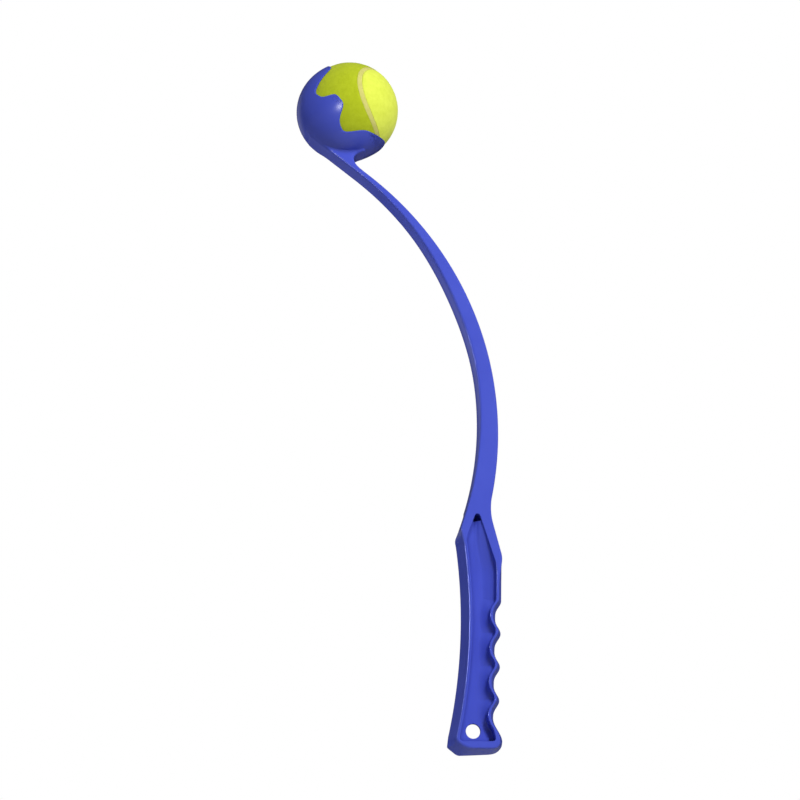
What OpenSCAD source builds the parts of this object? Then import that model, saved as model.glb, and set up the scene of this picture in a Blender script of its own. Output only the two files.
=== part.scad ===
// Dog ball launcher: a one-piece moulded cup, arm and handle, with a tennis ball in the cup.
// Millimetres. +Z is up the handle, +X is the throwing side, Y = 0 is the plane of symmetry.
// The origin is the centre of the hang hole in the handle.

/* [Ball] */
// Diameter of the ball over its felt
ball_d = 65; // [60:0.5:68]
// Thickness of the felt
felt_t = 3; // [2:0.1:4]
// Wall of the hollow rubber core
core_t = 3.4; // [2.5:0.1:5]
// Width of the cement band between the two felt panels
seam_w = 3.2; // [1.6:0.1:4]
// How far the cement band lies below the felt
seam_dip = 0.3; // [0.2:0.1:1.2]
// Glue line under the felt and beside the cement band
glue_gap = 0.1; // [0.05:0.01:0.2]
// Turn of the ball about X in its cup
ball_turn_x = 52; // [-180:1:180]
// Turn of the ball about Y in its cup
ball_turn_y = 41; // [-180:1:180]
// Turn of the ball about Z in its cup
ball_turn_z = -50; // [-180:1:180]

/* [Claw cup] */
// Height of the ball's centre above the hang hole
ball_up = 419; // [400:1:440]
// How far the ball's centre lies behind the hang hole
ball_back = 79; // [70:1:88]
// Angle of the cup's mouth above the throwing direction
mouth_angle = 38; // [34:1:42]
// Clearance between the ball and the bottom of its seat
seat_clear = 0.2; // [0.1:0.05:0.4]
// Clearance between the ball and the cup all round
side_clear = 0.4; // [0.4:0.05:1.2]
// Wall of the cup at its back
cup_back_t = 4.2; // [3.4:0.1:5]
// Wall of the cup at the finger tips
cup_tip_t = 1; // [0.8:0.1:2]
// Angle from the mouth axis at which the top finger ends
top_reach = 82; // [82:1:95]
// Angle from the mouth axis at which the bottom lip ends
lip_reach = 82; // [82:1:95]
// Angle from the mouth axis at which the side fingers end
side_reach = 110; // [100:1:114]
// Angle from the mouth axis of the notches above the side fingers
upper_notch = 126; // [120:1:130]
// Angle from the mouth axis of the notches below the side fingers
lower_notch = 129; // [122:1:133]
// Half width of the top finger, as an angle round the mouth
top_half = 48; // [42:1:50]
// Half width of the bottom lip, as an angle round the mouth
lip_half = 46; // [42:1:50]
// How far the corners of the top finger fall back from its tip, as an angle
top_droop = 7; // [0:1:12]
// How far the corners of the bottom lip fall back from its tip, as an angle
lip_droop = 27; // [12:1:30]
// Half width of a side finger on its upper side, as an angle round the mouth
side_upper = 14; // [11:1:16]
// Half width of a side finger on its lower side, as an angle round the mouth
side_lower = 16; // [12:1:18]

/* [Throwing arm] */
// Radius of the arm's hollow side
arm_r = 216; // [208:1:226]
// Angle at which the arc ends and runs straight on under the cup
arm_top_angle = 51.5; // [50:0.5:53]
// Angle at which the arm ends at the handle
arm_end_angle = -14; // [-15:0.5:-13]
// Length of the straight, from the arc's end to below the cup's middle
root_run = 32.5; // [30:0.5:36]
// Wall of the cup where the straight runs along its back
root_wall = 2.4; // [1.6:0.1:3.2]
// Depth of the blade at the throat of the cup
throat_t = 3.8; // [3:0.1:6]
// Depth of the arm at the handle
neck_t = 13.3; // [12:0.1:15]
// How far the hollow side swells out in the middle of the arm
arm_swell = 1.1; // [0:0.1:2]
// Width of the arm across the cup
arm_root_w = 15; // [12:0.5:19]
// Fillet in the throat between the arm and the cup
throat_fillet = 6.5; // [3:0.5:7]

/* [Handle] */
// Thickness of the handle and the neck
handle_t = 19; // [16:0.5:24]
// Width of the handle at its waist, across the parting line
waist_w = 25.6; // [24:0.2:28]
// Height of the waist above the hang hole
waist_up = 73; // [66:1:80]
// Radius of the hollow palm side
palm_r = 350; // [320:5:450]
// How far the finger side lies ahead of the hang hole
finger_out = 16; // [15:0.1:18]
// Lean of the finger side, in mm of width for each mm of height
finger_lean = 0.036; // [0.02:0.002:0.05]
// Bevel on the palm side, from the rim out to the parting line
palm_bevel = 4.8; // [3:0.1:6]
// Bevel on the finger side
finger_bevel = 2.9; // [2:0.1:4]
// Bevel at the butt
butt_bevel = 3.4; // [2.4:0.1:5]
// Flare of the butt on the finger side
butt_flare = 2.4; // [0.5:0.1:3]
// Length of the flare, from the bottom of the lowest groove down
flare_length = 15; // [12:0.5:16]
// How far the butt's parting line lies below the hang hole
butt_down = 15; // [14:0.1:17]
// Height of the palm shoulder above the hang hole
palm_shoulder_up = 120; // [116:1:122]
// Height of the finger shoulder above the hang hole
finger_shoulder_up = 107; // [104:1:110]
// Height above which the neck has no bevel
neck_up = 130; // [128:1:133]
// Hollow of the neck on the finger side
neck_hollow = 1.5; // [0.5:0.1:2.5]
// Spacing of the finger grooves
groove_pitch = 21; // [19:0.5:22]
// Depth of the finger grooves
groove_depth = 3.6; // [1:0.1:4.4]
// Height of the lowest ridge, from the hang hole
groove_foot = -2; // [-4:0.5:0]
// Rim between the bevel and the pocket
rim_w = 1.6; // [1:0.1:2.4]
// Thickness of the web between the two pockets
web_t = 2.6; // [2:0.1:4]
// Height of the pocket's pointed top above the hang hole
pocket_up = 136; // [132:1:138]
// Diameter of the hang hole
hang_d = 9; // [6:0.1:10]

/* [Hidden] */
$fn = 96;

blue = [0.31, 0.37, 0.81];
felt_yellow = [0.80, 0.86, 0.22];
rubber_grey = [0.25, 0.25, 0.26];
cement_cream = [0.86, 0.84, 0.52];

// Steps round the cup's rim and the ball's seam, along the arm, and down the handle's sides
full_turn = 360;
rim_steps = 120;
seam_steps = 72;
arm_steps = 40;
neck_steps = 4;
point_steps = 3;
groove_steps = 8;
flare_steps = 8;
palm_steps = 10;
groove_count = 4;

// The ball, the cup's cavity, and the cup's outer sphere, set back along the mouth axis
ball_r = ball_d / 2;
core_r = ball_r - felt_t - glue_gap;
mouth = [cos(mouth_angle), 0, sin(mouth_angle)];
mouth_up = [-sin(mouth_angle), 0, cos(mouth_angle)];
ball_at = [-ball_back, 0, ball_up];
cavity_at = ball_at + (side_clear - seat_clear) * mouth;
cavity_r = ball_r + side_clear;
cup_shift = (cup_back_t - cup_tip_t) / (1 + cos(min(top_reach, lip_reach)));
cup_r = cavity_r + cup_back_t - cup_shift;
cup_at = cavity_at - cup_shift * mouth;
mouth_margin = 2;
mouth_cut = cavity_r * cos(min(top_reach, lip_reach)) + mouth_margin;
side_at = 90;
end_power = 24;
upper_power = 5;
lower_power = 4;
droop_power = 1.55;
cutter_r = 2 * cup_r;
cutter_rings = 5;

// The tennis ball's seam on a unit ball: a first and a third harmonic, and the height to match
seam_third = 0.255;
seam_first = 1 - seam_third;
seam_height = 2 * sqrt(seam_first * seam_third);

// The arm's hollow side is an arc, and then a straight that trims the back of the cup
root_out = [cos(arm_top_angle), sin(arm_top_angle)];
root_along = [-sin(arm_top_angle), cos(arm_top_angle)];
arm_at = [cavity_at.x, cavity_at.z] - (arm_r + cavity_r + root_wall) * root_out - root_run * root_along;
swell_at = 23;
swell_half = 17;
root_circle_r = sqrt(cup_r * cup_r - arm_root_w * arm_root_w / 4);
root_bite = 0.4;
neck_in = arm_point(arm_end_angle, 0);
neck_out = arm_point(arm_end_angle, 1);
throat_in = arm_point(arm_top_angle, 0);

// Corner sizes of the handle: the rim's shoulder, the butt's corners and the neck
shoulder_rise = 6;
shoulder_kick = 1.5;
palm_corner_up = 4.3;
palm_corner_rise = 3.5;
butt_round = 6.2;
rim_round = 4;
neck_finger_x = neck_out.x - neck_hollow;
neck_flank = 2.2;
neck_hollow_rise = 10;
finger_shoulder_drop = 13;
finger_shoulder_in = 0.6;
pocket_shoulder_rise = 9;
waist_x = finger_out + finger_lean * waist_up - waist_w;
groove_top = groove_foot + groove_count * groove_pitch;
groove_low = groove_foot + groove_pitch / 2;
ridge_power = 1.6;
past = 1;

function mix(a, b, share) = a + (b - a) * share;
function unit(v) = v / norm(v);

// Reach of a finger's lobe, 1 in its middle and 0 well outside its half width
function lobe(angle, half, power) = 1 / (1 + pow(abs(angle) / half, power));

// Angle of the cup's rim from the mouth axis, at an angle round it that starts at the top finger
function rim_angle(round) =
    let (
        a = abs(round),
        upper = a < side_at,
        notch = upper ? upper_notch : lower_notch,
        half = upper ? top_half : lip_half,
        from_end = upper ? a : full_turn / 2 - a,
        reach = (upper ? top_reach : lip_reach)
            + (upper ? top_droop : lip_droop) * pow(from_end / half, droop_power),
        side = upper ? lobe(a - side_at, side_upper, upper_power) : lobe(a - side_at, side_lower, lower_power)
    )
    notch - (notch - reach) * lobe(from_end, half, end_power) - (notch - side_reach) * side;
function mouth_direction(angle, round) =
    cos(angle) * mouth + sin(angle) * (cos(round) * mouth_up - sin(round) * [0, 1, 0]);

// The seam, its direction of travel, and the edge of the panel about +Z at a distance from it
function seam(t) = [
    seam_first * cos(t) + seam_third * cos(3 * t),
    seam_first * sin(t) - seam_third * sin(3 * t),
    seam_height * sin(2 * t)
];
function seam_travel(t) = [
    -seam_first * sin(t) - 3 * seam_third * sin(3 * t),
    seam_first * cos(t) - 3 * seam_third * cos(3 * t),
    2 * seam_height * cos(2 * t)
];
function panel_edge(t, gap) = unit(seam(t) + gap / ball_r * unit(cross(seam(t), seam_travel(t))));

// Depth of the arm at an angle on its arc, and a point on its hollow side (0) or its back (1)
function arm_depth(angle) =
    mix(throat_t, neck_t, (arm_top_angle - angle) / (arm_top_angle - arm_end_angle));
function hollow_swell(angle) =
    abs(angle - swell_at) > swell_half ? 0 : arm_swell * pow(cos(90 * (angle - swell_at) / swell_half), 2);
function arm_point(angle, side) =
    arm_at + (arm_r + mix(-hollow_swell(angle), arm_depth(angle), side)) * [cos(angle), sin(angle)];
function arm_hollow_x(z) = arm_at.x + sqrt(arm_r * arm_r - pow(z - arm_at.y, 2));

// The two long sides of the handle at a height, at the rim (level 0) or the parting line (1)
function palm_x(z, level) =
    waist_x + (1 - level) * palm_bevel - palm_r + sqrt(palm_r * palm_r - pow(z - waist_up, 2));
function ridge(z) =
    z > groove_top
        ? 1
        : pow((1 + cos(full_turn * (z - groove_foot) / groove_pitch)) / 2, ridge_power);
function flare(z) =
    (groove_depth + butt_flare) * (1 - cos(180 * min(1, (groove_low - z) / flare_length))) / 2;
function finger_x(z, level) =
    finger_out + finger_lean * z - (1 - level) * finger_bevel
        + (z > groove_low ? groove_depth * (ridge(z) - 1) : flare(z) - groove_depth);
function finger_side(level, foot, inset) =
    concat(
        [for (k = [0:flare_steps - 1])
            let (z = mix(foot, groove_low, k / flare_steps)) [finger_x(z, level) - inset, z]],
        [for (k = [groove_steps / 2:groove_count * groove_steps])
            let (z = groove_foot + k * groove_pitch / groove_steps) [finger_x(z, level) - inset, z]]
    );
function butt_z(level) = -butt_down + (1 - level) * butt_bevel;
function palm_corner(level) =
    let (z = -butt_down + palm_corner_up + (1 - level) * palm_corner_rise) [palm_x(z, level), z];
function bevel_end(level) =
    let (z = finger_shoulder_up - finger_shoulder_drop) [finger_x(z, level), z];
function finger_shoulder(level) =
    [finger_x(finger_shoulder_up, 1) - (1 - level) * finger_shoulder_in, finger_shoulder_up];

// Outline of the handle from the neck, down the palm side, round the butt and up the finger side
function handle_outline(level) =
    let (
        palm_top = palm_shoulder_up - shoulder_rise / 2,
        corner = palm_corner(level),
        round = mix(rim_round, butt_round, level),
        foot = butt_z(level) + round
    )
    concat(
        [for (k = [0:neck_steps]) let (z = mix(neck_in.y, neck_up, k / neck_steps)) [arm_hollow_x(z), z]],
        [[
            palm_x(palm_shoulder_up, level) - (1 - level) * shoulder_kick,
            palm_shoulder_up + (1 - level) * shoulder_rise
        ]],
        [for (k = [0:palm_steps]) let (z = mix(palm_top, corner.y, k / palm_steps)) [palm_x(z, level), z]],
        [[corner.x + round, butt_z(level)], [finger_x(foot, level) - round, butt_z(level)]],
        finger_side(level, foot, 0),
        [
            bevel_end(level),
            finger_shoulder(level),
            [neck_finger_x + neck_flank, neck_up],
            [neck_finger_x, neck_up + neck_hollow_rise],
            neck_out
        ]
    );

// Outline of the pocket at a distance inside the rim, matched to the rim point by point
function pocket_outline(inset) =
    let (
        palm_top = palm_shoulder_up - shoulder_rise / 2,
        corner = palm_corner(0),
        floor_z = butt_z(0) + rim_round / 2 + inset,
        foot = floor_z + rim_round / 2,
        side_end = bevel_end(0),
        point = [(arm_hollow_x(neck_up) + neck_finger_x) / 2, pocket_up + 2 * (rim_w - inset)],
        palm_end = [palm_x(palm_shoulder_up, 0) + inset, palm_shoulder_up],
        finger_end = [neck_finger_x - inset, finger_shoulder_up + pocket_shoulder_rise]
    )
    concat(
        [for (k = [0:neck_steps + 1]) mix(point, palm_end, k / (neck_steps + 1))],
        [for (k = [0:palm_steps])
            let (z = mix(palm_top, corner.y + inset, k / palm_steps)) [palm_x(z, 0) + inset, z]],
        [[corner.x + rim_round + inset, floor_z], [finger_x(foot, 0) - rim_round - inset, floor_z]],
        finger_side(0, foot, inset),
        [[side_end.x - inset, side_end.y]],
        [for (k = [0:point_steps]) mix(finger_end, point, k / (point_steps + 1))]
    );

// Cone from the origin through a closed row of directions round a pole, filled past the cutter's reach
module cone_through(edge, pole) {
    n = len(edge);
    directions = [for (ring = [1:cutter_rings], e = edge)
        let (
            whole = acos(e * pole),
            aside = unit(e - (e * pole) * pole),
            part = whole * ring / cutter_rings
        )
        cos(part) * pole + sin(part) * aside];
    function at(ring, k) = 2 + (ring - 1) * n + k % n;
    polyhedron(
        points = cutter_r * concat([[0, 0, 0], pole], directions),
        faces = concat(
            [for (k = [0:n - 1]) [1, at(1, k + 1), at(1, k)]],
            [for (ring = [1:cutter_rings - 1], k = [0:n - 1])
                [at(ring, k), at(ring, k + 1), at(ring + 1, k)]],
            [for (ring = [1:cutter_rings - 1], k = [0:n - 1])
                [at(ring, k + 1), at(ring + 1, k + 1), at(ring + 1, k)]],
            [for (k = [0:n - 1]) [at(cutter_rings, k), at(cutter_rings, k + 1), 0]]
        )
    );
}

// A drawing in the plane of symmetry, given an even width across it
module across(width) {
    rotate([90, 0, 0]) linear_extrude(height = width, center = true) children();
}

// Turns a drawing with X along the straight and Y away from its hollow side into place on the arm
module on_straight() {
    translate(throat_in) rotate(arm_top_angle + 90) mirror([0, 1]) children();
}

// Outline of the arm's root: the blade run into a circle of the cup, with the throat filleted
module root_outline() {
    offset(r = -throat_fillet) offset(delta = throat_fillet) {
        translate([cup_at.x, cup_at.z]) circle(r = root_circle_r);
        on_straight() translate([0, -past]) square([root_run, throat_t + past]);
    }
}

// Half space behind the straight, which trims the cup's back and its root
module behind_straight() {
    across(2 * cutter_r) on_straight() translate([-cutter_r, -cutter_r]) square([2 * cutter_r, cutter_r]);
}

// Spherical cup with its four fingers, and the root by which the arm carries it
module claw_cup() {
    color(blue) {
        difference() {
            translate(cup_at) sphere(r = cup_r);
            translate(cavity_at) rotate([0, -mouth_angle, 0])
                translate([mouth_cut, -cup_r, -cup_r]) cube(2 * cup_r);
            translate(cavity_at) sphere(r = cavity_r);
            translate(cavity_at)
                cone_through(
                    [for (k = [0:rim_steps - 1])
                        let (round = full_turn * k / rim_steps - full_turn / 2)
                        mouth_direction(rim_angle(round), round)],
                    mouth
                );
            behind_straight();
        }
        difference() {
            across(arm_root_w) root_outline();
            translate(cavity_at) rotate([0, -mouth_angle, 0])
                translate([0, -cutter_r, -cutter_r]) cube(2 * cutter_r);
            translate(cavity_at) sphere(r = cavity_r + root_bite);
            behind_straight();
        }
    }
}

// Curved blade that bends in the throw, thin and narrow at the cup and deep at the handle
module throwing_arm() {
    angles = [for (k = [0:arm_steps]) mix(arm_top_angle, arm_end_angle, k / arm_steps)];
    taper = [
        [handle_t / 2, 0],
        [handle_t / 2, neck_in.y],
        [arm_root_w / 2, throat_in.y],
        [arm_root_w / 2, ball_up]
    ];
    color(blue) intersection() {
        across(handle_t)
            polygon(concat(
                [for (a = angles) arm_point(a, 0)],
                [for (k = [arm_steps:-1:0]) arm_point(angles[k], 1)]
            ));
        translate([-ball_back, 0, 0]) rotate([90, 0, 90]) linear_extrude(height = 2 * ball_back)
            polygon(concat(taper, [for (k = [3:-1:0]) [-taper[k].x, taper[k].y]]));
    }
}

// Bevelled frame with a web across its middle, so that each face has a pocket, and the hang hole
module handle() {
    pocket = pocket_outline(rim_w);
    rim = handle_outline(0);
    parting = handle_outline(1);
    face = handle_t / 2;
    rows = [[pocket, -face], [rim, -face], [parting, 0], [rim, face], [pocket, face]];
    n = len(rim);
    all = n * len(rows);
    color(blue) {
        polyhedron(
            points = [for (row = rows, p = row[0]) [p.x, row[1], p.y]],
            faces = concat(
                [for (r = [0:n:all - n], k = [0:n - 1]) [r + k, r + (k + 1) % n, (r + n + k) % all]],
                [for (r = [0:n:all - n], k = [0:n - 1])
                    [r + (k + 1) % n, (r + n + (k + 1) % n) % all, (r + n + k) % all]]
            )
        );
        difference() {
            across(web_t) polygon(pocket_outline(rim_w / 2));
            rotate([90, 0, 0]) cylinder(d = hang_d, h = web_t + 2 * past, center = true);
        }
    }
}

// Puts a piece of the ball in the cup, turned so that the seam faces as it does there
module in_cup() {
    translate(ball_at) rotate([ball_turn_x, ball_turn_y, ball_turn_z]) children();
}

// Half of the hollow rubber core: turn is 0 for the first half and 180 for the second
module core_half(turn) {
    color(rubber_grey) in_cup() rotate([turn, 0, 0]) difference() {
        sphere(r = core_r);
        sphere(r = core_r - core_t);
        translate([-ball_d, -ball_d, -2 * ball_d]) cube(2 * ball_d);
    }
}

// Solid on one side of the seam, at a distance from the seam's middle line
module panel_side(turn, gap) {
    rotate([turn, 0, 0])
        cone_through([for (k = [0:seam_steps - 1]) panel_edge(full_turn * k / seam_steps, gap)], [0, 0, 1]);
}

// Dog-bone felt panel, one on each side of the seam
module felt_panel(turn) {
    color(felt_yellow) in_cup() intersection() {
        difference() {
            sphere(r = ball_r);
            sphere(r = core_r + glue_gap);
        }
        panel_side(turn, seam_w / 2 + glue_gap);
    }
}

// Cement that fills the joint between the two panels
module seam_band() {
    color(cement_cream) in_cup() difference() {
        sphere(r = ball_r - seam_dip);
        sphere(r = core_r + glue_gap);
        panel_side(0, seam_w / 2);
        panel_side(180, seam_w / 2);
    }
}

claw_cup();
throwing_arm();
handle();
core_half(0);  // core_half_a
core_half(180);  // core_half_b
felt_panel(0);  // felt_panel_a
felt_panel(180);  // felt_panel_b
seam_band();
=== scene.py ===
import math

import bpy
import numpy as np
from mathutils import Matrix, Vector, noise


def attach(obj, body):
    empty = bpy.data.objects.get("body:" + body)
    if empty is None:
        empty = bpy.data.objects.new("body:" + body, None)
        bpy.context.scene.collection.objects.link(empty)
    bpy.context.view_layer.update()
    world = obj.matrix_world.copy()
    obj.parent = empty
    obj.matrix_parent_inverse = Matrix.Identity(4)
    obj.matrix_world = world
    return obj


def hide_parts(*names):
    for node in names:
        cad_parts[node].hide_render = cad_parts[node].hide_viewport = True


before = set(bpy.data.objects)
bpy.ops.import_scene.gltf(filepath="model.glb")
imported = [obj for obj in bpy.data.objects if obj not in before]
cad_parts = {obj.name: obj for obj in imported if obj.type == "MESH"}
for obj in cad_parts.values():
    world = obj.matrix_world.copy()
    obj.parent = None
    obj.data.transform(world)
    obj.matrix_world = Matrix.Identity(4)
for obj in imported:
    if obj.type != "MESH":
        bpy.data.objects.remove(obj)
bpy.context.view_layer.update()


# Launcher moulding: cup, arm and handle are one shot of blue polypropylene, pressed in a two-part
# mould that closes on the plane Y = 0. Nothing is fixed to it. Its skin is found here from the
# distance of any point to the plastic, in millimetres, which rounds each edge and fills each corner.
BALL_AT = np.array([-79.0, 0.0, 419.0])
BALL_R, BALL_CLEARANCE = 32.5, 0.3
MOUTH_ANGLE = math.radians(38)
MOUTH = np.array([math.cos(MOUTH_ANGLE), 0.0, math.sin(MOUTH_ANGLE)])
MOUTH_UP = np.array([-math.sin(MOUTH_ANGLE), 0.0, math.cos(MOUTH_ANGLE)])
CAVITY_OUT = 0.15
CAVITY_AT = BALL_AT + CAVITY_OUT * MOUTH
CAVITY_R = BALL_R + BALL_CLEARANCE


def ramp(value, start, end):
    """0 before start, 1 after end, and a smooth step between them."""
    share = np.clip((value - start) / (end - start), 0, 1)
    return share * share * (3 - 2 * share)


def joined(a, b, fillet):
    """Distance to two solids together, with a fillet of that radius in the corner between them."""
    reach = np.hypot(np.maximum(fillet - a, 0), np.maximum(fillet - b, 0))
    return np.maximum(np.minimum(a, b), fillet) - reach


def common(a, b, rounding):
    """Distance to what two solids share, with their common edge rounded to that radius."""
    reach = np.hypot(np.maximum(rounding + a, 0), np.maximum(rounding + b, 0))
    return np.minimum(np.maximum(a, b), -rounding) + reach


# The arm is a curved blade: its hollow side is one arc that runs straight on into the back of the
# cup, and it grows deeper towards the handle. A gusset with flat sides fills the throat. Angles
# are in degrees round the centre of the arc, from its level.
ARM_AT = np.array([-209.88, 202.12])
ARM_R = 216.0
ROOT_ANGLE = math.radians(51.5)
BLADE_TOP, BLADE_FOOT = 60.0, -17.0
THROAT_ANGLE, NECK_ANGLE = 50.0, -14.0
THROAT_T, NECK_T = 3.8, 13.3
ROOT_UP, NECK_UP = 358.2, 149.6
ARM_ROOT_W, HANDLE_T = 15.0, 19.0
ARM_SWELL, SWELL_AT, SWELL_SPAN = 1.1, 23.0, 17.0
ARM_CROWN, CROWN_FULL, CROWN_GONE = 0.7, 34.0, 48.0
ARM_EDGE, NECK_EDGE, EDGE_LOW, EDGE_HIGH = 1.3, 0.8, 160.0, 220.0
GUSSET_WALL, GUSSET_DROP, GUSSET_OUT = 1.0, 20.0, 9.0
THROAT_FILLET = 13.0


def hollow_height(x, z):
    """Height of a point above the hollow side of the arm."""
    across, up = x - ARM_AT[0], z - ARM_AT[1]
    straight = across * math.cos(ROOT_ANGLE) + up * math.sin(ROOT_ANGLE)
    return np.where(np.arctan2(up, across) > ROOT_ANGLE, straight, np.hypot(across, up)) - ARM_R


def arm_distance(x, y, z):
    across, up = x - ARM_AT[0], z - ARM_AT[1]
    angle = np.degrees(np.arctan2(up, across))
    share = np.clip((THROAT_ANGLE - angle) / (THROAT_ANGLE - NECK_ANGLE), 0, 1)
    depth = THROAT_T + (NECK_T - THROAT_T) * share
    near_neck = 1 - np.clip((z - NECK_UP) / (ROOT_UP - NECK_UP), 0, 1)
    half = (ARM_ROOT_W + (HANDLE_T - ARM_ROOT_W) * near_neck) / 2
    height = hollow_height(x, z)
    swell = ARM_SWELL * np.cos(np.pi / 2 * np.clip((angle - SWELL_AT) / SWELL_SPAN, -1, 1)) ** 2
    crown = ARM_CROWN * (1 - ramp(angle, CROWN_FULL, CROWN_GONE)) * (1 - np.clip(y / half, -1, 1) ** 2)
    ends = np.radians(np.maximum(angle - BLADE_TOP, BLADE_FOOT - angle)) * ARM_R
    hollow = -height - swell - crown
    blade = np.maximum(np.maximum(hollow, height - depth), ends)
    dx, dz = x - CAVITY_AT[0], z - CAVITY_AT[2]
    wall = np.hypot(dx, dz) - CAVITY_R - GUSSET_WALL
    gusset = np.maximum(np.maximum(wall, dz + GUSSET_DROP), dx - GUSSET_OUT)
    profile = np.maximum(joined(blade, gusset, THROAT_FILLET), hollow)
    edge = NECK_EDGE + (ARM_EDGE - NECK_EDGE) * ramp(z, EDGE_LOW, EDGE_HIGH)
    return common(profile, np.abs(y) - half, edge)


# The cup is a spherical shell, thickest at its back, whose rim runs out into a top finger, a bottom
# lip and a short finger on each side, so that the ball snaps in and is held. Its reaches and notches
# are angles from the mouth's axis, and the halves of its fingers are angles round it, in degrees.
BACK_T, TIP_T = 3.9, 0.5
BACK = np.array([-0.86, 0.0, -0.51])
WALL_POWER, SIDE_THINNING = 1.2, 1.2
TOP_REACH, TOP_HALF, TOP_DROOP = 82.0, 48.0, 7.0
LIP_REACH, LIP_HALF, LIP_DROOP = 82.0, 46.0, 27.0
DROOP_POWER, TIP_BLUNT = 1.55, 24
SIDE_REACH, SIDE_UPPER, SIDE_LOWER = 110.0, 14.0, 16.0
UPPER_BLUNT, LOWER_BLUNT = 5, 4
UPPER_NOTCH, LOWER_NOTCH = 126.0, 129.0
OUTER_ROUND, RIM_ROUND, TRIM_ROUND = 0.4, 0.15, 0.6
SIDE_FILLET = 1.6
LEAST_SINE = 0.3


def lobe(angle, half, blunt):
    """1 in the middle of a finger and 0 away from it, with steeper sides the blunter it is."""
    return 1 / (1 + np.abs(angle / half) ** blunt)


def rim_angle(turn):
    """Angle of the rim from the mouth axis at a turn round it, from 0 at the top to 180 at the lip."""
    top = TOP_REACH + TOP_DROOP * (np.abs(turn) / TOP_HALF) ** DROOP_POWER
    lip = LIP_REACH + LIP_DROOP * (np.abs(180 - turn) / LIP_HALF) ** DROOP_POWER
    upper = UPPER_NOTCH - (UPPER_NOTCH - top) * lobe(turn, TOP_HALF, TIP_BLUNT)
    upper = upper - (UPPER_NOTCH - SIDE_REACH) * lobe(turn - 90, SIDE_UPPER, UPPER_BLUNT)
    lower = LOWER_NOTCH - (LOWER_NOTCH - lip) * lobe(180 - turn, LIP_HALF, TIP_BLUNT)
    lower = lower - (LOWER_NOTCH - SIDE_REACH) * lobe(turn - 90, SIDE_LOWER, LOWER_BLUNT)
    return np.where(turn < 90, upper, lower)


def cup_distance(x, y, z):
    """Distance to the cup with the arm run into its back."""
    dx, dz = x - CAVITY_AT[0], z - CAVITY_AT[2]
    radius = np.sqrt(dx ** 2 + y ** 2 + dz ** 2) + 1e-9
    out = dx * MOUTH[0] + dz * MOUTH[2]
    up = dx * MOUTH_UP[0] + dz * MOUTH_UP[2]
    angle = np.degrees(np.arccos(np.clip(out / radius, -1, 1)))
    turn = np.degrees(np.arctan2(np.abs(y), up))
    sine = np.maximum(np.sin(np.radians(angle)), LEAST_SINE)
    slope = (rim_angle(turn + 0.5) - rim_angle(turn - 0.5)) / sine
    rim = np.radians(rim_angle(turn) - angle) * radius / np.hypot(1, slope)
    backward = np.clip((dx * BACK[0] + dz * BACK[2]) / radius, 0, 1)
    thinning = 1 - np.clip(SIDE_THINNING * (y / radius) ** 2, 0, 1)
    wall = TIP_T + (BACK_T - TIP_T) * backward ** WALL_POWER * thinning
    outer = radius - CAVITY_R - wall
    outer = common(common(outer, -hollow_height(x, z), TRIM_ROUND), rim, OUTER_ROUND)
    solid = joined(outer, arm_distance(x, y, z), SIDE_FILLET)
    return common(solid, CAVITY_R - radius, RIM_ROUND)


# The handle is a bevelled frame with a pocket in each face and a thin web between the pockets. The
# bevels run from the rim of each face out to the parting line, where the two halves of the mould
# met. The floor of a pocket rises towards the finger side and the neck.
WAIST_X, WAIST_UP, PALM_R, PALM_BEVEL = -7.0, 73.0, 350.0, 4.8
PALM_TOP, PALM_FOOT = 116.0, -4.0
FINGER_OUT, FINGER_LEAN, FINGER_BEVEL = 16.0, 0.036, 2.9
GROOVE_FOOT, GROOVE_PITCH, GROOVES, GROOVE_DEPTH = -2.0, 21.0, 4, 3.6
GROOVE_POWER = 1.6
GROOVE_TOP = GROOVE_FOOT + GROOVES * GROOVE_PITCH
BUTT_FLARE, FLARE_LENGTH, FLARE_FOOT = 2.4, 15.0, -6.0
ARC_FOOT = 130.0
RIM_W, WEB_T, HANG_R = 1.6, 2.6, 4.5
PARTING_SOFT, BEVEL_SLOPE = 0.3, 0.94
HANDLE_EDGE, HANG_EDGE = 0.9, 0.4
POCKET_EDGE, BUTT_POCKET_EDGE, BUTT_POCKET_LOW, BUTT_POCKET_HIGH = 0.55, 0.15, -6.5, -3.0
POCKET_FLOOR_ROUND = 1.0
POCKET_PALM_FOOT, POCKET_FINGER_FOOT = -3.0, 0.0
NECK_RISE, RISE_LOW, RISE_HIGH = 3.6, 96.0, 128.0
SCOOP_W, SCOOP_H, SCOOP_EASE = 10.0, 4.4, 0.35
SCOOP_FROM, SCOOP_TO, SCOOP_TO_AT_NECK, SCOOP_NECK_UP = 1.0, 10.0, 5.0, 120.0
SCOOP_FOOT, SCOOP_FULL = 0.0, 12.0
RECESS_WEB, RECESS_LOW, RECESS_HIGH = 0.4, 131.9, 132.4


def palm_x(z, level):
    """Palm side at a height, on the rim (level 0) or on the parting line (level 1)."""
    return WAIST_X + (1 - level) * PALM_BEVEL - PALM_R + np.sqrt(PALM_R ** 2 - (z - WAIST_UP) ** 2)


def finger_x(z, level):
    """Finger side at a height: a leaning line with four round-bottomed grooves in it."""
    wave = (1 + np.cos(2 * np.pi * (z - GROOVE_FOOT) / GROOVE_PITCH)) / 2
    ridge = np.where(z < GROOVE_TOP, wave ** GROOVE_POWER, 1)
    low = GROOVE_FOOT + GROOVE_PITCH / 2 - z
    flare = (GROOVE_DEPTH + BUTT_FLARE) * (1 - np.cos(np.pi * np.clip(low / FLARE_LENGTH, 0, 1))) / 2
    side = np.where(low > 0, flare - GROOVE_DEPTH, -GROOVE_DEPTH * (1 - ridge))
    return FINGER_OUT + FINGER_LEAN * z - (1 - level) * FINGER_BEVEL + side


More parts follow.
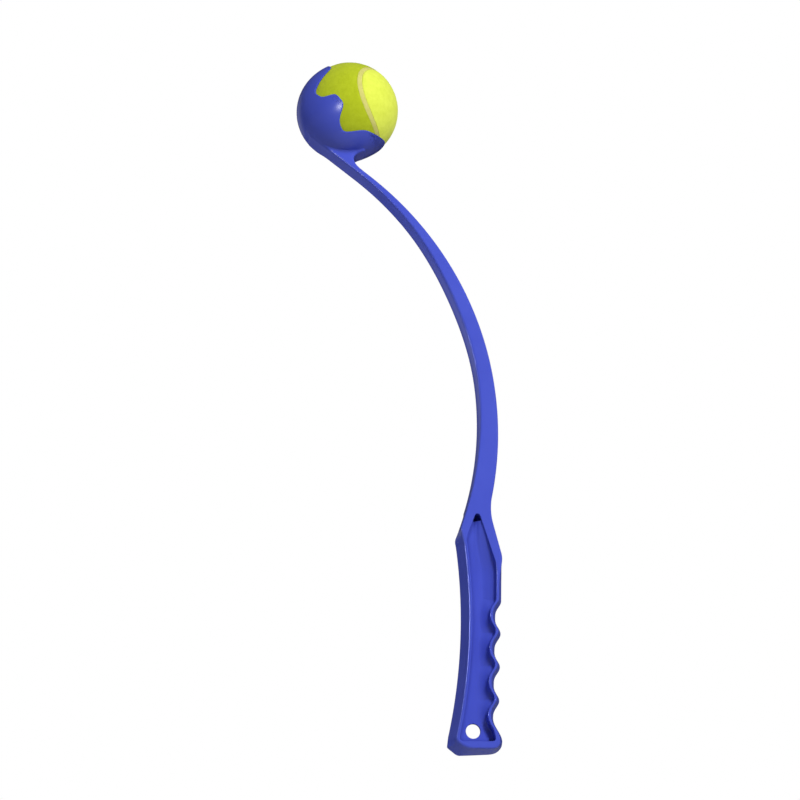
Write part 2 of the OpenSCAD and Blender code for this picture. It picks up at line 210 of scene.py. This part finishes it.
def rounded(corners):
    """Outline through corners of (x, z, rounding), each corner with a rounding turned into a curve."""
    points = []
    for k, (x, z, rounding) in enumerate(corners):
        here = np.array([x, z])
        if rounding == 0:
            points.append(here)
            continue
        before = np.array(corners[k - 1][:2]) - here
        after = np.array(corners[(k + 1) % len(corners)][:2]) - here
        start = here + before * min(0.5, rounding / np.linalg.norm(before))
        end = here + after * min(0.5, rounding / np.linalg.norm(after))
        for t in np.linspace(0, 1, 7):
            points.append((1 - t) ** 2 * start + 2 * t * (1 - t) * here + t ** 2 * end)
    return np.array(points)


def handle_outline(level):
    """Outline of the handle from the neck down the palm side, round the butt and up the finger side."""
    arc_up = np.linspace(NECK_UP, ARC_FOOT, 8)
    arc = [(ARM_AT[0] + math.sqrt(ARM_R ** 2 - (z - ARM_AT[1]) ** 2), z, 0) for z in arc_up]
    palm_top = [(-10.4, 120.0, 2.0)] if level else [(-7.4, 126.0, 2.0)]
    palm = [(float(palm_x(z, level)), z, 0) for z in np.linspace(PALM_TOP, PALM_FOOT, 40)]
    butt = [(-16.4, -10.3, 1.0), (-10.0, -15.3, 2.0), (13.2, -13.9, 4.0), (17.6, -10.0, 3.0)]
    rim_butt = [(-11.2, -7.0, 3.0), (-5.0, -11.6, 4.0), (13.2, -11.6, 3.0), (15.4, -8.6, 3.0)]
    finger = [(float(finger_x(z, level)), z, 0) for z in np.linspace(FLARE_FOOT, GROOVE_TOP, 150)]
    shoulder = [(19.5, 106.5, 6.0)] if level else [(finger_x(94.0, 0), 94.0, 4.0), (18.9, 108.0, 3.0)]
    neck = [(11.05, 138.5, 9.0), (14.4, 156.2, 0)]
    return rounded(arc + palm_top + palm + (butt if level else rim_butt) + finger + shoulder + neck)


def pocket_outline():
    """Outline of the pocket, a rim's width inside the rim, with a pointed top in the neck."""
    palm_up = np.linspace(PALM_TOP, POCKET_PALM_FOOT, 40)
    finger_up = np.linspace(POCKET_FINGER_FOOT, GROOVE_TOP, 135)
    palm = [(float(palm_x(z, 0)) + RIM_W, z, 0) for z in palm_up]
    butt = [(-9.3, -7.3, 2.0), (13.2, -7.2, 2.5)]
    finger = [(float(finger_x(z, 0)) - RIM_W, z, 0) for z in finger_up]
    top = [(15.1, 102.5, 4.0), (11.0, 115.5, 6.0), (4.5, 135.9, 1.2), (2.1, 135.9, 1.2), (-4.2, 119.5, 5.0)]
    return rounded(palm + butt + finger + top)


MAP_LOW, MAP_STEP, MAP_SIZE = np.array([-26.0, -26.0]), 0.25, (220, 760)


def distance_map(outline):
    """Distance to a closed outline, negative inside, on a fine grid over the handle."""
    x = (MAP_LOW[0] + MAP_STEP * np.arange(MAP_SIZE[0]))[:, None]
    z = (MAP_LOW[1] + MAP_STEP * np.arange(MAP_SIZE[1]))[None, :]
    least = np.full(MAP_SIZE, 1e9)
    inside = np.zeros(MAP_SIZE, bool)
    for (ax, az), (bx, bz) in zip(outline, np.roll(outline, -1, axis=0)):
        ex, ez = bx - ax, bz - az
        if ex == 0 and ez == 0:
            continue
        t = np.clip(((x - ax) * ex + (z - az) * ez) / (ex * ex + ez * ez), 0, 1)
        least = np.minimum(least, (x - ax - t * ex) ** 2 + (z - az - t * ez) ** 2)
        if ez != 0:
            inside ^= ((az > z) != (bz > z)) & (x < ax + (z - az) * ex / ez)
    return np.where(inside, -1, 1) * np.sqrt(least)


def read_map(grid, x, z):
    """A distance map read between its points."""
    u = np.clip((x - MAP_LOW[0]) / MAP_STEP, 0, MAP_SIZE[0] - 1.001)
    v = np.clip((z - MAP_LOW[1]) / MAP_STEP, 0, MAP_SIZE[1] - 1.001)
    i, j = u.astype(int), v.astype(int)
    u, v = u - i, v - j
    low = grid[i, j] * (1 - u) + grid[i + 1, j] * u
    high = grid[i, j + 1] * (1 - u) + grid[i + 1, j + 1] * u
    return low * (1 - v) + high * v


RIM_MAP = distance_map(handle_outline(0))
PARTING_MAP = distance_map(handle_outline(1))
POCKET_MAP = distance_map(pocket_outline())


def pocket_floor(inset, x, z):
    """Height of the pocket's floor above the middle of the web, with the small recess at its top."""
    shallow = NECK_RISE * ramp(z, RISE_LOW, RISE_HIGH)
    steep = SCOOP_TO - (SCOOP_TO - SCOOP_TO_AT_NECK) * ramp(z, RISE_LOW, SCOOP_NECK_UP)
    scoop = (SCOOP_H - SCOOP_EASE * shallow) * ramp(x, SCOOP_FROM, steep) * ramp(z, SCOOP_FOOT, SCOOP_FULL)
    rise = scoop * np.clip(1 + inset / SCOOP_W, 0, 1) ** 2
    recess = (WEB_T / 2 + shallow - RECESS_WEB) * ramp(z, RECESS_LOW, RECESS_HIGH)
    return WEB_T / 2 + rise + shallow - recess


def handle_distance(x, y, z):
    side = np.sqrt(y ** 2 + PARTING_SOFT ** 2)
    face = HANDLE_T / 2
    level = np.clip(side / face, 0, 1)
    walls = BEVEL_SLOPE * ((1 - level) * read_map(PARTING_MAP, x, z) + level * read_map(RIM_MAP, x, z))
    body = common(walls, np.abs(y) - face, HANDLE_EDGE)
    inset = read_map(POCKET_MAP, x, z)
    pocket = common(inset, pocket_floor(inset, x, z) - np.abs(y), POCKET_FLOOR_ROUND)
    above_butt = ramp(z, BUTT_POCKET_LOW, BUTT_POCKET_HIGH)
    body = common(body, -pocket, BUTT_POCKET_EDGE + (POCKET_EDGE - BUTT_POCKET_EDGE) * above_butt)
    return common(body, HANG_R - np.hypot(x, z), HANG_EDGE)


def moulding_distance(points):
    x, y, z = points[:, 0], points[:, 1], points[:, 2]
    return np.minimum(cup_distance(x, y, z), handle_distance(x, y, z))


def slope_of(distance, points, step):
    """Slope of a distance at points, felt out over a step to each side."""
    gains = [distance(points + step * axis) - distance(points - step * axis) for axis in np.eye(3)]
    return np.stack(gains, 1) / (2 * step)


SKIN_CELL, FEEL_STEP = 0.42, 0.02
PULLS, SMOOTHINGS = 6, 4
BLOCK_REACH, LEAST_SLOPE = 1.3, 0.2


def skin(distance, low, high, cell, block=16):
    """Vertices and quads of the surface where a distance is nought, one vertex in each cell it crosses."""
    size = (np.ceil((high - low) / cell / block).astype(int)) * block
    values = np.full(size + 1, cell, np.float32)
    corner = np.stack(np.meshgrid(*[np.arange(block + 1)] * 3, indexing="ij"), -1).reshape(-1, 3)
    firsts = [np.arange(0, n, block) for n in size]
    starts = np.stack(np.meshgrid(*firsts, indexing="ij"), -1).reshape(-1, 3)
    near = distance(low + (starts + block / 2) * cell)
    for start in starts[near < 0]:
        values[tuple(slice(s, s + block + 1) for s in start)] = -cell
    for start in starts[np.abs(near) < BLOCK_REACH * block * cell]:
        found = distance(low + (start + corner) * cell)
        values[tuple(slice(s, s + block + 1) for s in start)] = found.reshape((block + 1,) * 3)
    inside = values < 0
    number = np.zeros(size, int)
    for shift in np.ndindex(2, 2, 2):
        number += inside[tuple(slice(s, s + n) for s, n in zip(shift, size))]
    cells = np.argwhere((number > 0) & (number < 8))
    index = np.full(size, -1)
    index[tuple(cells.T)] = np.arange(len(cells))
    quads = []
    for axis in range(3):
        order = (axis, (axis + 1) % 3, (axis + 2) % 3)
        first = np.moveaxis(inside, order, (0, 1, 2))[:-1, 1:-1, 1:-1]
        second = np.moveaxis(inside, order, (0, 1, 2))[1:, 1:-1, 1:-1]
        turned = np.moveaxis(index, order, (0, 1, 2))
        i, j, k = np.nonzero(first != second)
        ring = [turned[i, j, k], turned[i, j + 1, k], turned[i, j + 1, k + 1], turned[i, j, k + 1]]
        ring = np.stack(ring, 1)
        quads.append(np.where(first[i, j, k][:, None], ring, ring[:, ::-1]))
    quads = np.concatenate(quads)
    links = np.concatenate([quads[:, [a, (a + 1) % 4]] for a in range(4)])
    points = low + (cells + 0.5) * cell
    for step in range(PULLS):
        slope = slope_of(distance, points, FEEL_STEP)
        pull = distance(points) / np.maximum((slope ** 2).sum(1), LEAST_SLOPE)
        points = points - slope * pull[:, None]
        if step < SMOOTHINGS:
            total = np.zeros_like(points)
            count = np.zeros(len(points))
            np.add.at(total, links[:, 0], points[links[:, 1]])
            np.add.at(count, links[:, 0], 1)
            middle = total / np.maximum(count, 1)[:, None]
            points = points + 0.5 * (middle - points)
    return points, quads


def mesh_object(name, points, faces):
    """A smooth-shaded object from points in millimetres."""
    mesh = bpy.data.meshes.new(name)
    mesh.from_pydata((np.asarray(points) * 0.001).tolist(), [], [list(f) for f in faces])
    mesh.validate()
    mesh.shade_smooth()
    piece = bpy.data.objects.new(name, mesh)
    bpy.context.scene.collection.objects.link(piece)
    return piece


# The shading follows the slope of the same distance, so that the gloss runs evenly over small edges.
BOX_LOW, BOX_HIGH = np.array([-119.0, -38.0, -19.0]), np.array([24.0, 38.0, 457.0])
FACING_STEP = 0.15
points, quads = skin(moulding_distance, BOX_LOW, BOX_HIGH, SKIN_CELL)
moulding = mesh_object("launcher_moulding", points, quads)
facing = slope_of(moulding_distance, points, FACING_STEP)
facing /= np.maximum(np.linalg.norm(facing, axis=1), 1e-6)[:, None]
moulding.data.normals_split_custom_set_from_vertices(facing.tolist())


def linear(code):
    """An sRGB hex colour as the linear colour that shaders take."""
    parts = [int(code[k:k + 2], 16) / 255 for k in (1, 3, 5)]
    return tuple(p / 12.92 if p <= 0.04045 else ((p + 0.055) / 1.055) ** 2.4 for p in parts) + (1.0,)


def add(tree, kind, settings=None, links=None):
    """Adds a node to a tree. Settings are attributes or socket values, links are socket to output."""
    made = tree.nodes.new(kind)
    for key, value in (settings or {}).items():
        if isinstance(key, str) and hasattr(made, key):
            setattr(made, key, value)
        else:
            made.inputs[key].default_value = value
    for key, output in (links or {}).items():
        tree.links.new(output, made.inputs[key])
    return made


def new_material(name):
    material = bpy.data.materials.new(name)
    material.use_nodes = True
    tree = material.node_tree
    tree.nodes.clear()
    return material, tree


def two_tones(tree, pattern, deep, pale, start=0.3, end=0.7):
    """A colour that goes from a deep tone to a pale one between two shares of a pattern."""
    tint = add(tree, "ShaderNodeValToRGB", None, {"Fac": pattern.outputs["Fac"]})
    for element, share, tone in zip(tint.color_ramp.elements, (start, end), (deep, pale)):
        element.position, element.color = share, linear(tone)
    return tint.outputs["Color"]


# Moulded polypropylene: an even deep blue with a satin gloss, with painted shade that darkens its inner
# corners. Close to, the gloss wavers over the faint orange peel of the mould, and the colour drifts where
# the plastic flowed.
FLOW_MM, PEEL_MM, PAINTED_SHADE_MM = 35.0, 1.6, 3.5
moulded_polypropylene, tree = new_material("moulded_polypropylene")
place = add(tree, "ShaderNodeTexCoord")
flow = add(tree, "ShaderNodeTexNoise", {"Scale": 1000 / FLOW_MM, "Detail": 3.0, "Roughness": 0.5},
           {"Vector": place.outputs["Object"]})
tint = two_tones(tree, flow, "#4654c8", "#4b5acf")
gloss = add(tree, "ShaderNodeMapRange",
            {"From Min": 0.3, "From Max": 0.7, "To Min": 0.22, "To Max": 0.27},
            {"Value": flow.outputs["Fac"]})
# Painted shade: the colour darkens to a deep blue in inner corners and pockets, by how closed in each point
# is.
corner = add(tree, "ShaderNodeAmbientOcclusion", {"samples": 8, "Distance": PAINTED_SHADE_MM / 1000})
painted_shade_open_share = add(tree, "ShaderNodeMapRange",
                 {"From Min": 0.45, "From Max": 0.95, "To Min": 0.0, "To Max": 1.0},
                 {"Value": corner.outputs["AO"]})
colour = add(tree, "ShaderNodeMix", {"data_type": "RGBA", 6: linear("#303a96")},
             {0: painted_shade_open_share.outputs["Result"], 7: tint})
peel = add(tree, "ShaderNodeTexNoise", {"Scale": 1000 / PEEL_MM, "Detail": 2.0},
           {"Vector": place.outputs["Object"]})
bump = add(tree, "ShaderNodeBump", {"Strength": 0.02, "Distance": 0.0003}, {"Height": peel.outputs["Fac"]})
shader = add(tree, "ShaderNodeBsdfPrincipled", {"IOR": 1.49},
             {"Base Color": colour.outputs[2], "Roughness": gloss.outputs["Result"],
              "Normal": bump.outputs["Normal"]})
add(tree, "ShaderNodeOutputMaterial", None, {"Surface": shader.outputs["BSDF"]})

moulding.data.materials.append(moulded_polypropylene)
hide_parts("claw_cup", "throwing_arm", "handle")
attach(moulding, "launcher")


# Rubber core of the ball: two hollow hemispheres moulded from dark rubber and bonded at the equator.
# The felt and the cement cover them all over.
GRIT_MM = 0.8
core_rubber, tree = new_material("moulded_core_rubber")
place = add(tree, "ShaderNodeTexCoord")
grit = add(tree, "ShaderNodeTexNoise", {"Scale": 1000 / GRIT_MM, "Detail": 4.0},
           {"Vector": place.outputs["Object"]})
tint = two_tones(tree, grit, "#2c2c2e", "#39393b", 0.35, 0.65)
bump = add(tree, "ShaderNodeBump", {"Strength": 0.3, "Distance": 0.0002}, {"Height": grit.outputs["Fac"]})
shader = add(tree, "ShaderNodeBsdfPrincipled", {"Roughness": 0.75, "IOR": 1.52},
             {"Base Color": tint, "Normal": bump.outputs["Normal"]})
add(tree, "ShaderNodeOutputMaterial", None, {"Surface": shader.outputs["BSDF"]})
for name in ("core_half_a", "core_half_b"):
    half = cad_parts[name]
    half.data.materials.clear()
    half.data.materials.append(core_rubber)


# Felt panels: two dog-bone cut-outs of napped yellow felt, steamed and glued round the core. Their
# cut edges roll down to the seam, and the nap stands up unevenly by about a tenth of a millimetre.
FELT_T, SEAM_W, PANEL_GAP = 3.0, 3.2, 0.04
ROLL_W, ROLL_DROP = 3.0, 0.2
NAP_H, NAP_TUFTS = 0.10, 14
BALL_TURN = (Matrix.Rotation(math.radians(-50), 3, "Z") @ Matrix.Rotation(math.radians(41), 3, "Y")
             @ Matrix.Rotation(math.radians(52), 3, "X"))
SEAM_THIRD = 0.255
SEAM_FIRST = 1 - SEAM_THIRD
SEAM_HEIGHT = 2 * math.sqrt(SEAM_FIRST * SEAM_THIRD)


def panel_edge(t, gap):
    """Directions to the edge of the first panel, at a distance in mm from the seam's middle line."""
    seam = np.stack([
        SEAM_FIRST * np.cos(t) + SEAM_THIRD * np.cos(3 * t),
        SEAM_FIRST * np.sin(t) - SEAM_THIRD * np.sin(3 * t),
        SEAM_HEIGHT * np.sin(2 * t),
    ], 1)
    travel = np.stack([
        -SEAM_FIRST * np.sin(t) - 3 * SEAM_THIRD * np.sin(3 * t),
        SEAM_FIRST * np.cos(t) - 3 * SEAM_THIRD * np.cos(3 * t),
        2 * SEAM_HEIGHT * np.cos(2 * t),
    ], 1)
    aside = np.cross(seam, travel)
    aside /= np.linalg.norm(aside, axis=1)[:, None]
    edge = seam + np.tan(gap / BALL_R) * aside
    return edge / np.linalg.norm(edge, axis=1)[:, None]


def in_cup(points, flip):
    """Points of the ball's own frame turned and placed as the ball lies in the cup."""
    points = points * np.array([1, -1, -1]) if flip else points
    return points @ np.array(BALL_TURN).T + BALL_AT


def felt_panel(name, flip, rings=64, around=288):
    """A panel as rings of points from its middle to its edge, on the nap and on the glued side."""
    t = np.linspace(0, 2 * np.pi, around, endpoint=False)
    edge = panel_edge(t, SEAM_W / 2 + PANEL_GAP)
    tilt = np.arccos(edge[:, 2])
    sideways = edge[:, :2] / np.linalg.norm(edge[:, :2], axis=1)[:, None]
    points = []
    for outer in (True, False):
        points.append(np.array([[0, 0, BALL_R if outer else BALL_R - FELT_T]]))
        for ring in range(1, rings + 1):
            part = tilt * (ring / rings)
            direction = np.column_stack([sideways * np.sin(part)[:, None], np.cos(part)])
            radius = np.full(around, BALL_R - FELT_T)
            if outer:
                from_edge = np.linalg.norm(direction - edge, axis=1) * BALL_R
                radius = BALL_R - ROLL_DROP * (1 - np.clip(from_edge / ROLL_W, 0, 1)) ** 2
                nap = np.array([noise.fractal(Vector(d * NAP_TUFTS), 1.0, 2.0, 3) for d in direction])
                radius = radius + NAP_H * nap
            points.append(direction * radius[:, None])
    points = np.concatenate(points)
    half = 1 + rings * around
    step = np.arange(around)
    ahead = (step + 1) % around
    faces = []
    for base, turn in ((0, 1), (half, -1)):
        first = 1 + base
        faces += [(base, first + a, first + b)[::turn] for a, b in zip(step, ahead)]
        for ring in range(rings - 1):
            low, high = first + ring * around, first + (ring + 1) * around
            faces += [(low + a, high + a, high + b, low + b)[::turn] for a, b in zip(step, ahead)]
    outer, inner = half - around, 2 * half - around
    faces += [(outer + a, inner + a, inner + b, outer + b) for a, b in zip(step, ahead)]
    return mesh_object(name, in_cup(points, flip), faces)


# Napped felt: optic yellow wool and nylon, matt, with a fine uneven mottle of fibres lying different ways,
# and a faint glow of painted light that lifts its shaded side. One panel is painted deeper and greener as
# shade, the other paler as light.
TUFT_MM, FIBRE_MM = 4.0, 0.7


def napped_felt(name, deep, pale):
    material, tree = new_material(name)
    place = add(tree, "ShaderNodeTexCoord")
    tufts = add(tree, "ShaderNodeTexNoise", {"Scale": 1000 / TUFT_MM, "Detail": 5.0, "Roughness": 0.65},
                {"Vector": place.outputs["Object"]})
    tint = two_tones(tree, tufts, deep, pale)
    fibres = add(tree, "ShaderNodeTexNoise", {"Scale": 1000 / FIBRE_MM, "Detail": 3.0, "Distortion": 1.5},
                 {"Vector": place.outputs["Object"]})
    bump = add(tree, "ShaderNodeBump", {"Strength": 0.4, "Distance": 0.0004},
               {"Height": fibres.outputs["Fac"]})
    # The emission is painted light: the felt glows in its own colour, which lifts the side away from the
    # lamps.
    shader = add(tree, "ShaderNodeBsdfPrincipled",
                 {"Roughness": 0.95, "IOR": 1.45, "Specular IOR Level": 0.2, "Sheen Weight": 0.2,
                  "Sheen Roughness": 0.5, "Sheen Tint": linear("#f4f8b0"), "Emission Strength": 0.2},
                 {"Base Color": tint, "Emission Color": tint, "Normal": bump.outputs["Normal"]})
    add(tree, "ShaderNodeOutputMaterial", None, {"Surface": shader.outputs["BSDF"]})
    return material


# Painted light and shade: the deeper felt paints shade over one panel, the paler felt paints light over the
# other.
for name, flip, felt in (
    ("felt_panel_a", False, napped_felt("napped_felt_painted_shade", "#a0ae1c", "#abb924")),
    ("felt_panel_b", True, napped_felt("napped_felt_painted_light", "#ccd848", "#d8e356")),
):
    panel = felt_panel(name + "_felt", flip)
    panel.data.materials.append(felt)
    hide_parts(name)
    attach(panel, "ball")


# Seam: the cement that was brushed on the panels' edges, squeezed up between them and cured to a
# smooth pale band that lies a little below the felt.
SEAM_DIP, SHOULDER_DROP, SIDE_DROP = 0.15, 0.04, 0.1
CROWN_SHARE, SHOULDER_SHARE = 0.35, 0.8


def seam_band(around=288):
    """The band's cross-section carried round the seam's middle line."""
    t = np.linspace(0, 2 * np.pi, around, endpoint=False)
    half = SEAM_W / 2
    top = BALL_R - SEAM_DIP
    right = [(CROWN_SHARE * half, top), (SHOULDER_SHARE * half, top - SHOULDER_DROP),
             (half, top - SIDE_DROP), (half, BALL_R - FELT_T)]
    section = [(-gap, radius) for gap, radius in reversed(right)] + right
    rows = [panel_edge(t, gap) * radius for gap, radius in section]
    count = len(rows)
    points = np.stack(rows, 1).reshape(-1, 3)
    faces = []
    for k in range(around):
        here, ahead = k * count, (k + 1) % around * count
        for c in range(count):
            d = (c + 1) % count
            faces.append((here + c, ahead + c, ahead + d, here + d))
    return mesh_object("seam_band_cement", in_cup(points, False), faces)


# Cured seam cement: pale cream, smooth and a little waxy, with faint dirt in its lows.
SMEAR_MM = 3.0
seam_cement, tree = new_material("cured_seam_cement")
place = add(tree, "ShaderNodeTexCoord")
smear = add(tree, "ShaderNodeTexNoise", {"Scale": 1000 / SMEAR_MM, "Detail": 3.0},
            {"Vector": place.outputs["Object"]})
tint = two_tones(tree, smear, "#ceca6c", "#d9d57a")
bump = add(tree, "ShaderNodeBump", {"Strength": 0.2, "Distance": 0.0002}, {"Height": smear.outputs["Fac"]})
shader = add(tree, "ShaderNodeBsdfPrincipled", {"Roughness": 0.55, "IOR": 1.5},
             {"Base Color": tint, "Normal": bump.outputs["Normal"]})
add(tree, "ShaderNodeOutputMaterial", None, {"Surface": shader.outputs["BSDF"]})

seam = seam_band()
seam.data.materials.append(seam_cement)
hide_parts("seam_band")
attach(seam, "ball")


# Studio: the launcher hangs before a white ground, over white paper that lies well below it and is
# lifted a little for the camera alone, so that it stays near white and keeps the shadow.
FLOOR_Z, FLOOR_SIZE, FLOOR_LIFT, FLECK_MM = -0.40, 12, 0.6, 1000 / 3
bpy.ops.mesh.primitive_plane_add(size=FLOOR_SIZE, location=(0, 0, FLOOR_Z))
floor = bpy.context.object
floor.name = "floor"
white_paper, tree = new_material("white_paper")
place = add(tree, "ShaderNodeTexCoord")
fleck = add(tree, "ShaderNodeTexNoise", {"Scale": 1000 / FLECK_MM, "Detail": 2.0},
            {"Vector": place.outputs["Object"]})
tint = two_tones(tree, fleck, "#e9e9ea", "#f0f0f0", 0.0, 1.0)
shader = add(tree, "ShaderNodeBsdfPrincipled", {"Roughness": 0.9}, {"Base Color": tint})
path = add(tree, "ShaderNodeLightPath")
seen = add(tree, "ShaderNodeMath", {"operation": "MULTIPLY", 1: FLOOR_LIFT},
           {0: path.outputs["Is Camera Ray"]})
lift = add(tree, "ShaderNodeEmission", {"Color": (1, 1, 1, 1)}, {"Strength": seen.outputs["Value"]})
both = add(tree, "ShaderNodeAddShader", None, {0: shader.outputs["BSDF"], 1: lift.outputs["Emission"]})
add(tree, "ShaderNodeOutputMaterial", None, {"Surface": both.outputs["Shader"]})
floor.data.materials.append(white_paper)

# The white ground lights the object evenly. In the gloss it is dim, apart from one pale sheet that
# stands behind the launcher on its left.
AMBIENT = 0.27
SHEET_TOWARDS = Vector((-0.55, 0.78, 0.30)).normalized()
SHEET_EDGE, SHEET_FULL, SHEET_DIM, SHEET_BRIGHT = 0.94, 0.985, 0.06, 0.35
world = bpy.data.worlds.new("white_ground")
bpy.context.scene.world = world
world.use_nodes = True
tree = world.node_tree
tree.nodes.clear()
path = add(tree, "ShaderNodeLightPath")
seen = add(tree, "ShaderNodeMath", {"operation": "MAXIMUM"},
           {0: path.outputs["Is Camera Ray"], 1: path.outputs["Is Transmission Ray"]})
direction = add(tree, "ShaderNodeTexCoord")
towards = add(tree, "ShaderNodeVectorMath", {"operation": "DOT_PRODUCT", 1: SHEET_TOWARDS},
              {0: direction.outputs["Generated"]})
sheet = add(tree, "ShaderNodeMapRange",
            {"From Min": SHEET_EDGE, "From Max": SHEET_FULL, "To Min": SHEET_DIM, "To Max": SHEET_BRIGHT},
            {"Value": towards.outputs["Value"]})
mirrored = add(tree, "ShaderNodeMix", {"data_type": "FLOAT", 2: AMBIENT},
               {0: path.outputs["Is Glossy Ray"], 3: sheet.outputs["Result"]})
strength = add(tree, "ShaderNodeMix", {"data_type": "FLOAT", 3: 1.0},
               {0: seen.outputs["Value"], 2: mirrored.outputs[0]})
ground = add(tree, "ShaderNodeBackground", {"Color": (1, 1, 1, 1)}, {"Strength": strength.outputs[0]})
add(tree, "ShaderNodeOutputWorld", None, {"Surface": ground.outputs["Background"]})


BEAM_SOFT = 0.9


def lamp(name, place, aim, beam, size, watts, diffuse=True, glossy=True, colour="#ffffff"):
    """A round lamp at a place with a soft-edged beam, in degrees, turned to face a point."""
    light = bpy.data.lights.new(name, "SPOT")
    light.spot_size, light.spot_blend = math.radians(beam), BEAM_SOFT
    light.shadow_soft_size, light.energy, light.color = size, watts, linear(colour)[:3]
    stand = bpy.data.objects.new(name, light)
    stand.location = place
    stand.visible_diffuse, stand.visible_glossy = diffuse, glossy
    stand.rotation_euler = (Vector(aim) - Vector(place)).to_track_quat("-Z", "Y").to_euler()
    bpy.context.scene.collection.objects.link(stand)


# The key lamp stands in front, above and to the right. A lamp on the left lights the hollow side of
# the arm. Two more are seen only in the gloss, along the handle's edges and on the cup's side finger.
lamp("key_lamp", (0.45, -1.45, 0.80), (-0.02, 0, 0.2), 60, 0.2, 95, glossy=False)
lamp("left_lamp", (-0.95, 0.75, 0.30), (-0.02, 0, 0.29), 20, 0.1, 26, glossy=False)
lamp("rim_lamp", (-1.15, -0.20, 0.34), (0, 0, 0.12), 18, 0.08, 42, diffuse=False, colour="#a8b2ff")
lamp("glint_lamp", (-0.51, -0.92, 0.19), (-0.089, -0.03, 0.408), 9, 0.05, 8, diffuse=False)

# Camera: below the launcher and a little to its left, looking up at it from 1.2 m with a long lens.
CAMERA_AT = Vector((-0.16725, -1.21413, -0.20653))
CAMERA_ALONG = Vector((0.0948, 0.9408, 0.3253))
SENSOR_MM, FOCAL_PX, FRAME_PX = 36, 2000, 800
eye = bpy.data.cameras.new("camera")
eye.sensor_width, eye.lens = SENSOR_MM, SENSOR_MM * FOCAL_PX / FRAME_PX
camera = bpy.data.objects.new("camera", eye)
camera.location = CAMERA_AT
camera.rotation_euler = CAMERA_ALONG.to_track_quat("-Z", "Y").to_euler()
bpy.context.scene.collection.objects.link(camera)
bpy.context.scene.camera = camera

bpy.context.scene.view_settings.view_transform = "Standard"
